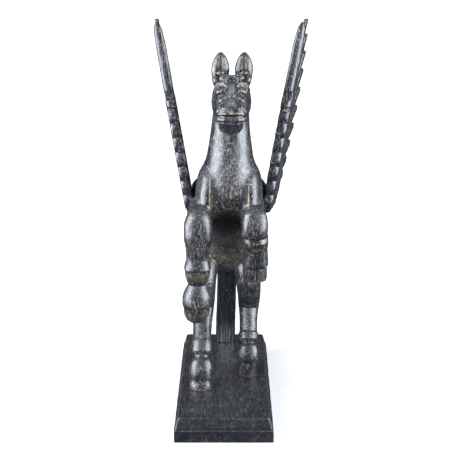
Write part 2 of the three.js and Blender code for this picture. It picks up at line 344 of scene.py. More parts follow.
def blurred(value, radius):
    """The field averaged over a cube of that many cells each way."""
    for axis in range(3):
        padded = np.pad(value, [(radius + 1, radius) if i == axis else (0, 0) for i in range(3)], mode="edge")
        running = np.cumsum(padded, axis=axis, dtype=np.float64).astype(np.float32)
        ahead = np.take(running, range(2 * radius + 1, running.shape[axis]), axis)
        behind = np.take(running, range(0, running.shape[axis] - 2 * radius - 1), axis)
        value = (ahead - behind) / (2 * radius + 1)
    return value


def sampled(value, field, points):
    """The grid's values at points, mixed from the eight nearest."""
    local = np.clip((points - field.low) / field.step, 0, np.array(value.shape) - 1.001)
    first = local.astype(int)
    part = local - first
    total = np.zeros(len(points))
    for corner in CORNERS:
        weight = np.prod(np.where(corner, part, 1 - part), axis=1)
        total += weight * value[tuple((first + corner).T)]
    return total


def mesh_object(name, field, faces_kept, move):
    """The field as a Blender object: thinned to faces_kept triangles, with edge and form values."""
    points, quads = surface(field)
    mesh = bpy.data.meshes.new(name)
    mesh.vertices.add(len(points))
    mesh.vertices.foreach_set("co", points.astype(np.float32).ravel())
    mesh.loops.add(quads.size)
    mesh.loops.foreach_set("vertex_index", quads.astype(np.int32).ravel())
    mesh.polygons.add(len(quads))
    mesh.polygons.foreach_set("loop_start", np.arange(0, quads.size, 4, dtype=np.int32))
    mesh.update(calc_edges=True)
    obj = bpy.data.objects.new(name, mesh)
    bpy.context.scene.collection.objects.link(obj)
    thin = obj.modifiers.new("Thin", "DECIMATE")
    thin.ratio = min(1.0, faces_kept / (2 * len(quads)))
    done = obj.evaluated_get(bpy.context.evaluated_depsgraph_get())
    thinned = bpy.data.meshes.new_from_object(done)
    obj.modifiers.clear()
    obj.data = thinned
    bpy.data.meshes.remove(mesh)
    thinned.name = name
    found = np.empty(len(thinned.vertices) * 3, np.float32)
    thinned.vertices.foreach_get("co", found)
    found = found.reshape(-1, 3).astype(float)
    near = np.clip(field.value if field.uncut is None else field.uncut, -12, 12)
    # edge marks rims for wear; form marks hollows, where the wood paints shade
    for label, reach in (("edge", 3.5), ("form", 11.0)):
        cells = max(1, round(reach / field.step))
        bend = (sampled(blurred(near, cells), field, found) - sampled(near, field, found)) / reach
        thinned.attributes.new(label, "FLOAT", "POINT").data.foreach_set("value", bend.astype(np.float32))
    moved = np.stack(move(*found.T), 1) / 1000
    thinned.vertices.foreach_set("co", moved.astype(np.float32).ravel())
    thinned.polygons.foreach_set("use_smooth", np.ones(len(thinned.polygons), bool))
    thinned.update()
    return obj


def paint(obj, label, spots):
    """Stores a surface value at each vertex, from spots of (centre in mm, radius in mm, strength)."""
    place = np.empty(len(obj.data.vertices) * 3, np.float32)
    obj.data.vertices.foreach_get("co", place)
    place = place.reshape(-1, 3) * 1000
    place[:, 0] -= LEAN * (place[:, 2] - PLINTH["height"])
    value = np.zeros(len(place), np.float32)
    for centre, radius, strength in spots:
        gap = np.linalg.norm((place - centre) / radius, axis=1)
        value = np.maximum(value, strength * np.clip(1.6 - gap, 0, 1))
    obj.data.attributes.new(label, "FLOAT", "POINT").data.foreach_set("value", value)


def lean(x, y, z):
    return x + LEAN * (z - PLINTH["height"]), y, z


# The trunk and legs, from the stations of the CAD source: y, z, half width, half depth, x
TORSO = [
    [124, 306, 22, 22], [128, 326, 46, 52], [116, 354, 68, 78], [90, 392, 79, 90], [50, 441, 75, 84],
    [8, 494, 74, 87], [-28, 544, 73, 84], [-56, 590, 66, 74], [-72, 626, 44, 46],
]
NECK = [
    [-36, 514, 24, 30], [-48, 534, 50, 66], [-55, 558, 66, 87], [-57, 582, 70, 92], [-58, 604, 69, 89],
    [-60, 632, 63, 78.5],
    [-62, 665, 56, 67], [-65, 708, 49.5, 56], [-70, 752, 45, 50], [-82, 796, 42, 47], [-102, 830, 36, 40],
]
GROIN = [[58, 376, 44, 40], [68, 340, 32, 32], [76, 314, 16, 18], [80, 301, 5, 6]]
SHOULDER = [
    [-46, 628, 10, 30], [-56, 608, 23, 54], [-66, 586, 29, 70], [-76, 562, 31, 74], [-88, 534, 31, 66],
    [-97, 508, 28, 50], [-102, 490, 15, 28],
]
SHOULDER_X = 52.5
RIGHT_X, LEFT_X = -70.5, 61
FOREARM = [[-92, 526, 28, 40], [-140, 512, 32, 38], [-200, 516, 31, 34], [-250, 525, 29, 30]]
RIGHT_FORE = [
    [-251, 567, 9, 8], [-252, 561, 20, 17], [-253, 549, 28, 26], [-254, 530, 33.5, 32], [-255, 503, 33.5, 31],
    [-254, 476, 29.5, 28], [-252, 450, 27, 26], [-250, 426, 31.5, 31], [-250, 421, 32, 31.5],
    [-250, 419.5, 29.5, 29], [-249, 410, 29.5, 29], [-248, 396, 26, 25], [-246, 386, 21, 20.5],
]
RIGHT_FETLOCK = [
    [-246, 392, 20, 19], [-246, 382, 22, 21.5], [-246, 370, 28, 27.5], [-247, 352, 34, 33],
    [-248, 334, 34.5, 33.5], [-248, 328, 32.5, 32],
]
RIGHT_TOE = [
    [-248, 334, 28, 28], [-248, 325, 31, 30], [-248, 312, 30.5, 29.5], [-248, 300, 26, 26], [-247, 291, 16, 17],
]
LEFT_KNEE = [
    [-251, 567, 11, 9], [-253, 561, 22, 18], [-256, 549, 28.5, 26], [-258, 530, 31, 30], [-259, 508, 30.5, 28],
    [-258, 502, 28, 25],
]
LEFT_ROLL = [
    [-240, 514, 22, 22, 62], [-236, 504, 26, 28, 62.5], [-233, 498, 30, 33, 63.5], [-229, 486, 31, 35, 64.5],
    [-224, 474, 30, 33, 65], [-221, 468, 25, 27, 65.5],
]
LEFT_PASTERN = [
    [-216, 478, 24, 24, 65], [-212, 465, 28, 31, 66], [-208, 448, 29, 34, 66.5], [-203, 431, 30.5, 38, 67],
    [-200, 419, 31.4, 40, 67], [-200, 415, 29, 38, 67],
]
RIGHT_HIND = [
    [74, 382, 18, 26, -46], [46, 358, 28, 42, -50], [22, 330, 30, 46, -55], [8, 300, 30.5, 40, -58],
    [6, 272, 30, 35, -58.5], [13, 246, 29, 29, -59.5], [4, 224, 27.5, 27, -60], [-14, 204, 25, 25, -60],
    [-38, 182, 24, 24, -60], [-53, 167, 24.5, 25.5, -60], [-57, 162, 27, 28, -60], [-66, 150, 27.5, 29, -60],
    [-74, 140, 26, 27, -60], [-78, 134.5, 21, 21.5, -60], [-84, 126, 18, 19, -60], [-92, 108, 18, 19, -60],
]
LEFT_HIND = [
    [88, 384, 18, 26, 44], [66, 360, 30, 42, 48], [48, 332, 35, 46, 53], [42, 302, 33, 42, 57],
    [50, 272, 31, 36, 60], [65, 246, 29.5, 30, 61], [64, 224, 27.5, 28, 61], [53, 202, 24.5, 26, 61],
    [38, 180, 23.5, 25, 61], [27, 163, 24, 25.5, 61], [24, 158, 27, 29, 61], [17, 149, 27.5, 29.5, 61],
    [10, 144, 26, 27, 61], [7, 139.5, 20.5, 21.5, 61], [2, 130, 18, 18, 61.5], [-4, 112, 18, 18, 62],
]
TAIL = [
    [118, 412, 18, 20], [156, 436, 22, 24], [192, 428, 26, 27], [218, 394, 27, 28], [233, 336, 27, 29],
    [242, 265, 27, 29], [247, 160, 27.5, 29], [247, 50, 28, 29.5],
]
TAIL_X = 1.5
HOOF_LENGTH = 1.08  # of its width
HOOVES = [  # a hoof's middle, its crown and rim heights, the half widths of dome, wall and sole
    {"x": -60, "y": -97, "crown": 133, "rim": 86, "sole": FOOT, "dome": 30.5, "wall": 26, "flare": 30, "lag": 13},
    {"x": 62, "y": -7, "crown": 139, "rim": 99, "sole": FOOT, "dome": 28.5, "wall": 24, "flare": 25.5, "lag": 11},
]
RAISED_HOOF = [[-197, 420, 28, 34], [-197, 414, 28.5, 35], [-195, 390, 29, 37], [-195, 380, 28, 36]]


def hoof(field, x, y, crown, rim, sole, dome, wall, flare, lag):
    """A dome that slopes forward over a hoof wall set in under its rim."""
    tall = crown - rim
    bulb = [[y + lag * (1 - t) ** 1.5, rim + tall * (1 - t), dome * w]
            for t, w in ((0, 0.66), (0.1, 0.84), (0.25, 0.94), (0.5, 1.0), (0.75, 1.0), (0.94, 0.99), (1, 0.96))]
    sides = [[y, rim + 4, wall - 1], [y, rim - 4, wall], [y, sole + 5, flare], [y, sole - 6, flare - 0.5]]
    for stations, cap in ((bulb, 2.5), (sides, 2)):
        field.add(tube([[a, b, w, w * HOOF_LENGTH] for a, b, w in stations], 2.8, x, cap, 3), 0.8)


def legs(field):
    for x in (RIGHT_X, LEFT_X):
        field.add(tube(FOREARM, 2.3, x), 8)
    field.add(tube(RIGHT_FORE, 2.7, RIGHT_X, 8), 5)
    field.add(tube(RIGHT_FETLOCK, 2.5, RIGHT_X, 3), 1.5)
    field.add(tube(RIGHT_TOE, 2.4, RIGHT_X, 4), 1)
    field.add(tube(LEFT_KNEE, 3.0, LEFT_X, 5), 4)
    field.add(tube(LEFT_ROLL, 2.7, LEFT_X, 3), 1)
    field.carve(ball([65, -268, 468], [17, 12, 7.5], 0), 1.2)
    field.add(tube(LEFT_PASTERN, 2.7, LEFT_X, 2.5), 1)
    field.add(tube(RIGHT_HIND, 2.5), 8)
    field.add(tube(LEFT_HIND, 2.5), 8)
    both(field, lambda side: ball([side * 44, 90, 384], [38, 74, 78], 34), 12)
    for spec in HOOVES:
        hoof(field, **spec)
    field.add(tube(RAISED_HOOF, 2.6, 67, 4), 1)
    field.add(rod([(54, -253, 467), (65, -256, 470), (76, -253, 467)], [1.5, 2.2, 1.5]), 1)
    field.carve(rod([(61, -290, 549), (61, -292, 528)], [1.5, 1.2]), 1)


def seats(field):
    """The bosses that the wings rest against, cut flat where each wing's board lies."""
    both(field, lambda side: ball([side * 64, -4, 544], [36, 56, 44], 20), 10)
    for spec in WING_SIDES.values():
        side, rise, toe = spec["side"], math.tan(math.radians(spec["tilt"])), math.tan(math.radians(spec["toe"]))
        face = spec["x"] - WING["thick"] / 2 - 0.4

        def beyond(x, y, z, side=side, rise=rise, toe=toe, face=face):
            out = side * x - face - (z - WING["z"]) * rise - (y - WING["y"]) * toe
            out = out / math.hypot(1, rise, toe)
            within = np.maximum(np.abs(y - WING["y"] - 95) - 95, np.abs(z - WING["z"] - 40) - 95)
            return np.maximum(-out, within)

        field.carve(Shape([side * 180 if side < 0 else 50, -70, 460], [180 if side > 0 else -50, 140, 680], beyond), 0.6)


def trunk(field):
    field.add(tube(TORSO, 2.3), 0)
    field.add(tube(NECK, 2.5), 10)
    both(field, lambda side: tube(SHOULDER, 2.15, side * SHOULDER_X, 14), 16)


def body_field():
    field = Field([-122, -296, 54], [122, 284, NECK_JOINT + 8], 1.9)
    trunk(field)
    field.add(tube(GROIN, 2.2), 12)
    legs(field)
    seats(field)
    field.add(tube(TAIL, 3.4, TAIL_X, flutes=12, depth=0.09), 6)
    field.roughen(0.5, 61)
    field.above(2, FOOT)
    field.below(2, NECK_JOINT + 2.5)
    return field


# The head: y, z, half width, half depth
HEAD = [
    [-76, 830, 26, 24], [-100, 825, 39, 35], [-134, 814, 43, 45], [-166, 803, 39.5, 44], [-198, 791, 35, 38.5],
    [-224, 782, 32.5, 34], [-242, 776, 31.5, 31], [-250, 773, 27, 26],
]
EAR_X = 28
EAR = [
    [-106, 834, 15, 11], [-111, 856, 20, 13], [-114, 876, 21.5, 13], [-114, 893, 18, 11], [-113, 906, 11.5, 7],
    [-112, 915, 3.5, 2.5],
]
EAR_HOLLOW = [[-126, 850, 6, 9], [-128, 864, 9.5, 12], [-128, 878, 10.5, 11], [-126, 893, 8, 9], [-123, 908, 3, 5]]
CREST = [
    [-98, 838, 8, 8], [-68, 838, 13, 16], [-40, 810, 14, 17], [-18, 766, 15, 17], [-4, 715, 16, 17],
    [10, 668, 16, 15], [22, 636, 9, 7],
]


def ears(field):
    for side in (-1, 1):
        own = Field([-60, -150, 820], [60, -80, 922], field.step)
        own.add(tube(EAR, 2.3, side * EAR_X, 3, 3), 0)
        own.carve(tube(EAR_HOLLOW, 2.2, side * EAR_X, 3, 3), 1.5)
        own.add(ball([side * 28, -124, 866], [9.5, 7, 7]), 1)
        place, *_ = field.window(own.low, own.low + own.step * (np.array(own.value.shape) - 1))
        part = field.value[place]
        size = np.minimum(part.shape, own.value.shape)
        cut = tuple(slice(0, n) for n in size)
        part[cut] = smooth_min(part[cut], own.value[cut], 3)


def face(field):
    # brows, sockets, eyes and lids
    both(field, lambda s: ball([s * 27, -196, 830], [14, 14, 8], -24), 3, True)
    both(field, lambda s: ball([s * 36, -174, 832], [6, 10, 5], -24), 2, True)
    both(field, lambda s: ball([s * 25.5, -189, 826], [13.5, 18, 9.5], -24), 1)
    upper = [(38, -168, 826), (32, -186, 834), (24, -196, 837.5), (15, -204, 832), (13, -210, 825)]
    lower = [(34, -186, 819), (28, -204, 817), (18, -214, 819), (13, -210, 825)]
    both(field, lambda s: rod([(s * x, y, z) for x, y, z in upper], (0.8, 1.4, 1.7, 1.7, 1.2)), 1)
    both(field, lambda s: rod([(s * x, y, z) for x, y, z in lower], (0.6, 1.2, 1.5, 1.2)), 1)
    both(field, lambda s: ball([s * 21.5, -203.5, 831], [2.2, 4, 2.2]), 0.8, True)
    brow = [(42, -148, 828), (37, -160, 838), (29, -168, 845), (19, -176, 847), (10, -188, 842)]
    both(field, lambda s: rod([(s * x, y, z) for x, y, z in brow], (2, 2.8, 3.2, 3, 1.8)), 5)
    both(field, lambda s: rod([(s * x, y - 5, z - 3) for x, y, z in brow[:4]], (1, 1.5, 1.6, 1)), 1, True)
    # the bridge and the nose's wedge
    bridge = [[-150, 846, 11, 7], [-176, 843, 12, 7], [-200, 831.5, 11.5, 7], [-216, 822.5, 8, 6], [-224, 818, 1.5, 2]]
    field.add(tube(bridge, 3.4, 0, 2, 3), 2)
    wedge = [[-214, 811, 9, 12], [-228, 806, 12.5, 12], [-242, 800, 17, 11], [-255, 793, 20.5, 7]]
    field.add(tube(wedge, 3.6, 0, 3, 3), 1.5)
    # a leaf under each eye, and the folds that run down to the nostrils
    both(field, lambda s: rod([(s * 33, -207, 806), (s * 24, -215, 812), (s * 14, -220, 820)], (2, 6.5, 3)), 1.2)
    both(field, lambda s: rod([(s * 34, -222, 797), (s * 26, -230, 802), (s * 14, -232, 812)], (1.5, 2.4, 1.4)), 0.8, True)
    both(field, lambda s: rod([(s * 15, -231, 810), (s * 23, -239, 800), (s * 30, -238, 791)], (3, 5, 4)), 1.5)
    both(field, lambda s: rod([(s * 19, -254, 799), (s * 24, -250, 796), (s * 28, -246, 795)], (1.2, 2.2, 1)), 1, True)


def muzzle(field):
    """Lips and grooves that wrap round the blunt muzzle; drop lowers a line's ends."""
    around = [(-33, -206), (-32.5, -232), (-27, -245), (-15, -251), (0, -253), (15, -251), (27, -245)]
    around += [(32.5, -232), (33, -206)]

    def line(z, radius, ahead=0.0, drop=0.0, flat=1.0):
        points = []
        for x, y in around:
            out = ahead / math.hypot(x, y + 215) if ahead else 0
            points.append((x * (1 + out), y + (y + 215) * out - 0.37 * (z - 773) * (y < -240), z - drop * (x / 33) ** 2))
        return rod(points, [radius] * len(points), flat)

    field.add(line(773.5, 8, -4), 2)
    field.add(line(790, 3.2, -1, 5), 1)
    field.carve(line(784, 2.7, 2.2, 5), 0.8)
    field.add(line(780, 1.2, 2.2, 2), 0.5)
    field.add(line(765.5, 2, 2), 0.6)
    field.carve(line(761, 2.2, 2.5), 0.8)
    field.add(ball([0, -214, 752.5], [28.5, 27, 19]), 1.5)


def mane(field):
    field.add(tube(CREST, 2.4, 0, flutes=8, depth=0.06), 5)
    spine = np.array([row[:2] for row in CREST[1:6]], float)
    along = monotone(np.arange(5.0), spine, np.linspace(0, 4, 9))
    for i, (y, z) in enumerate(along):
        size = 24 + 1.6 * i
        both(field, lambda s: ball([s * (15 + 0.8 * i), y - 15, z - 10], [10, 9, size * 0.72], -38, s * 10), 2)
        both(field, lambda s: rod([(s * 6, y - 1, z + 2), (s * 24, y - 12, z - 10), (s * 27, y - 26, z - 26)],
                                  (1.2, 1.5, 0.8)), 1, True)


FORELOCK = [  # x, y, z, size, nod, roll
    (-37, -138, 849, (9, 12, 12), 20, -20), (-22, -149, 856, (8.5, 12, 9), 10, -35), (0, -155, 857, (19, 11, 7.5), 0, 0),
    (21, -150, 857, (8.5, 12, 9), 10, 30), (37, -138, 850, (9, 12, 12), 20, 20), (-9, -162, 850, (12, 8, 6), 0, 22),
    (10, -162, 850, (11, 8, 6), 0, -22),
]


def forelock(field):
    for x, y, z, size, nod, roll in FORELOCK:
        field.add(ball([x, y, z], size, nod, roll), 1.2)
    for x, y, z in ((-14, -163, 857), (15, -163, 857), (27, -157, 853), (-28, -156, 851)):
        field.carve(rod([(x, y, z + 5), (x * 1.12, y - 3, z - 5)], (1.4, 2.8)), 1)


def head_field():
    field = Field([-112, -270, NECK_JOINT - 6], [112, 46, 922], 1.3)
    trunk(field)
    field.add(tube(HEAD, 2.6, 0, 9), 8)
    both(field, lambda side: ball([side * 28, -128, 798], [19.5, 34, 40]), 4)
    face(field)
    muzzle(field)
    mane(field)
    forelock(field)
    ears(field)
    seats(field)
    field.roughen(0.5, 61)
    field.above(2, NECK_JOINT - 2.5)
    return field


# The wings, sculpted flat: x runs back from the leading edge, y up the span, z outward
FLIGHT = {
    "count": 12, "thick": 11, "chord": (22, 36), "span": (262, 26), "angle": (77, -27), "length": (204, 84),
    "width": (44, 37),
}
COVERT = {
    "count": 7, "thick": 18, "chord": (14, 24), "span": (262, 26), "angle": (78, -26), "length": (122, 66),
    "width": (48, 42),
}
LESSER = {
    "count": 6, "thick": 24, "chord": (8, 14), "span": (236, 30), "angle": (74, -20), "length": (72, 44),
    "width": (44, 40),
}
ROLL = 6
SCALES = {"count": 8, "depth": 7}
LEADING = [[4, 250, 12.5, 13], [9, 310, 12.5, 13], [16, 390, 12.5, 13], [20, 438, 10, 11], [21, 456, 4, 5]]


def feather(base, angle, length, width, thick):
    """A strip with a round tip, a raised shaft and slanting barbs, rolled so that each laps the next."""
    turn, roll, half = math.radians(angle), math.radians(ROLL), width / 2
    ca, sa, cr, sr = math.cos(turn), math.sin(turn), math.cos(roll), math.sin(roll)

    def distance(x, y, z):
        p, q = x - base[0], y - base[1]
        along, side = p * ca + q * sa, -p * sa + q * ca
        across, up = side * cr + z * sr, -side * sr + z * cr
        straight = np.abs(across) - half * (0.75 + 0.25 * np.clip(along / (length - half), 0, 1))
        tip = np.hypot(np.maximum(along - (length - half), 0), across) - half
        outline = np.maximum(np.where(along > length - half, tip, straight), -along)
        shaft = np.exp(-((across / 2.6) ** 2))
        barbs = 0.55 * (0.5 + 0.5 * np.cos((along + 1.1 * np.abs(across)) * (2 * math.pi / 7)))
        crown = thick / 2 * (0.8 - 0.24 * (across / half) ** 2) + 0.9 * shaft - barbs * (1 - shaft)
        return -smooth_min(-outline * 0.98, crown - np.abs(up), 2.5)

    ends = np.array([[0, 0], [length, 0]]) @ np.array([[ca, sa], [-sa, ca]]) + base
    low = [*(ends.min(axis=0) - half), -thick / 2 - half * sr]
    high = [*(ends.max(axis=0) + half), thick / 2 + half * sr]
    return Shape(low, high, distance)


def feathers(field, spec, k):
    for i in range(spec["count"]):
        share = i / (spec["count"] - 1)

        def between(name, power=1.0):
            first, last = spec[name]
            return first + (last - first) * share**power

        base = (between("chord"), between("span"))
        field.add(feather(base, between("angle", 0.9), between("length", 1.3), between("width"), spec["thick"]), k)


def curve(a, b, c, count):
    """Points of a quadratic curve, without its first."""
    t = np.arange(1, count + 1)[:, None] / count
    return (1 - t) ** 2 * np.array(a) + 2 * t * (1 - t) * np.array(b) + t * t * np.array(c)


def arm_outline():
    joints = np.vstack([[8, -6], curve((8, -6), (-4, 140), (4, 280), SCALES["count"])])
    parts = [joints[:1]]
    for a, b in zip(joints, joints[1:]):
        middle = (a + b) / 2 - [2 * SCALES["depth"], 0]
        parts.append(curve(a, middle, b, 8))
    parts.append([[30, 286]])
    parts.append(curve((30, 286), (60, 200), (60, 110), 8))
    parts.append(curve((60, 110), (82, 50), (66, 8), 6))
    parts.append(curve((66, 8), (33, -16), (8, -6), 6)[:-1])
    return np.vstack(parts), joints


def board(outline, thick, rounding):
    """A flat board of that outline with rounded edges."""
    after = np.roll(outline, -1, axis=0)

    def distance(x, y, z):
        best = np.full(np.broadcast_shapes(x.shape, y.shape), 1e6, np.float32)
        inside = np.zeros(best.shape, bool)
        for a, b in zip(outline, after):
            d = b - a
            t = np.clip(((x - a[0]) * d[0] + (y - a[1]) * d[1]) / float(d @ d), 0, 1)
            best = np.minimum(best, (x - a[0] - t * d[0]) ** 2 + (y - a[1] - t * d[1]) ** 2)
            crosses = (y >= a[1]) != (y >= b[1])
            with np.errstate(divide="ignore", invalid="ignore"):
                left = x < a[0] + (y - a[1]) * (d[0] / d[1] if d[1] else 0)
            inside ^= crosses & left
        flat = np.sqrt(best) * np.where(inside, -1, 1)
        return -smooth_min(-flat, thick / 2 - np.abs(z), rounding)

    low = [*outline.min(axis=0), -thick / 2]
    return Shape(low, [*outline.max(axis=0), thick / 2], distance)


def wing_field():
    field = Field([-20, -34, -20], [184, 470, 20], 1.3)
    outline, joints = arm_outline()
    field.add(board(outline, WING["thick"], 7), 0)
    for a, b in zip(joints, joints[1:]):
        scale = [[a[0] + 11, a[1] - 10, 9, 9], [a[0] + 9, (a[1] + b[1]) / 2, 12, 15], [b[0] + 10, b[1] + 1, 12.9, 14]]
        field.add(tube(scale, 3.0, 0, 5, 3, turned=True), 0.5)
    field.add(tube(LEADING, 3.0, 0, 4, turned=True), 2)
    feathers(field, FLIGHT, 1.0)
    feathers(field, COVERT, 1.0)
    feathers(field, LESSER, 1.0)
    notch, wrist = WING["notch"] / 2, WING["wrist"]

    def slot(x, y, z):
        return np.maximum(x + 0 * z, np.abs(y - wrist) - notch)

    field.carve(Shape([-14, wrist - notch, -16], [0, wrist + notch, 16], slot), 1.5)
    field.roughen(0.3, 53)
    return field


def wing_place(spec):
    side, rise, toe = spec["side"], math.tan(math.radians(spec["tilt"])), math.tan(math.radians(spec["toe"]))

    def move(x, y, z):
        return lean(side * (spec["x"] + z + y * rise + x * toe), WING["y"] + x, WING["z"] + y)

    return move


# The plinth
def plinth_field():
    width, length = PLINTH["width"] / 2, PLINTH["length"] / 2
    top_width, top_length, height, slab = (PLINTH[k] for k in ("top_width", "top_length", "height", "slab"))
    field = Field([-width - 4, -length - 4, -4], [width + 4, length + 4, height + 4], 1.25)
    slope = ((width - 2) - top_width / 2) / (height - slab)

    def box(half_x, half_y, z0, z1, slope, edge):
        def distance(x, y, z):
            inset = slope * np.maximum(z - slab, 0) + 1.6 * (z < slab + 2.4) * (slope > 0)
            x, y = np.abs(x) - half_x + inset, np.abs(y) - half_y + inset
            sides = -smooth_min(-x, -y, edge)
            return -smooth_min(-sides, -np.maximum(z - z1, z0 - z), edge)

        return Shape([-half_x, -half_y, z0], [half_x, half_y, z1], distance)

    field.add(box(width + 0.1, length + 0.1, -4, slab, 0, 1.2), 0)
    field.add(box(width - 2, length - 2, slab - 8, height, slope, 1.5), 0)
    field.roughen(0.2, 71)
    field.above(2, 0.1)
    return field


# Materials
class Nodes:
    """A short way to add shader nodes and join them."""

    def __init__(self, material):
        self.tree = material.node_tree
        self.tree.nodes.clear()

    def add(self, kind, links=None, **settings):
        node = self.tree.nodes.new(kind)
        for name, value in settings.items():
            setattr(node, name, value)
        for name, value in (links or {}).items():
            self.put(node, name, value)
        return node

    def put(self, node, name, value):
        if isinstance(value, bpy.types.NodeSocket):
            self.tree.links.new(value, node.inputs[name])
        else:
            node.inputs[name].default_value = value

    def noise(self, vector, scale, detail=3.0, rough=0.55, distortion=0.0):
        node = self.add("ShaderNodeTexNoise", {
            "Vector": vector, "Scale": scale, "Detail": detail, "Roughness": rough, "Distortion": distortion,
        })
        return node.outputs[0]

    def stretch(self, vector, scale, turn=(0, 0, 0)):
        return self.add("ShaderNodeMapping", {"Vector": vector, "Scale": scale, "Rotation": turn}).outputs[0]

    def ramp(self, value, low, high, to=(0.0, 1.0)):
        node = self.add("ShaderNodeMapRange", {
            "Value": value, "From Min": low, "From Max": high, "To Min": to[0], "To Max": to[1],
        }, interpolation_type="SMOOTHSTEP")
        return node.outputs[0]

    def math(self, operation, a, b=0.0):
        node = self.add("ShaderNodeMath", operation=operation)
        self.put(node, 0, a)
        self.put(node, 1, b)
        return node.outputs[0]

    def mix(self, factor, a, b):
        node = self.add("ShaderNodeMix", data_type="RGBA")
        self.put(node, 0, factor)
        self.put(node, 6, a)
        self.put(node, 7, b)
        return node.outputs[2]


WAX_AND_SHADE = (0.0016, 0.0022, 0.0042, 1)
WAX_PALE = (0.0070, 0.0088, 0.0148, 1)
FILM = (0.056, 0.063, 0.080, 1)
BROWN = (0.0120, 0.0093, 0.0062, 1)
TAN = (0.095, 0.063, 0.036, 1)
LIME = (0.20, 0.172, 0.125, 1)


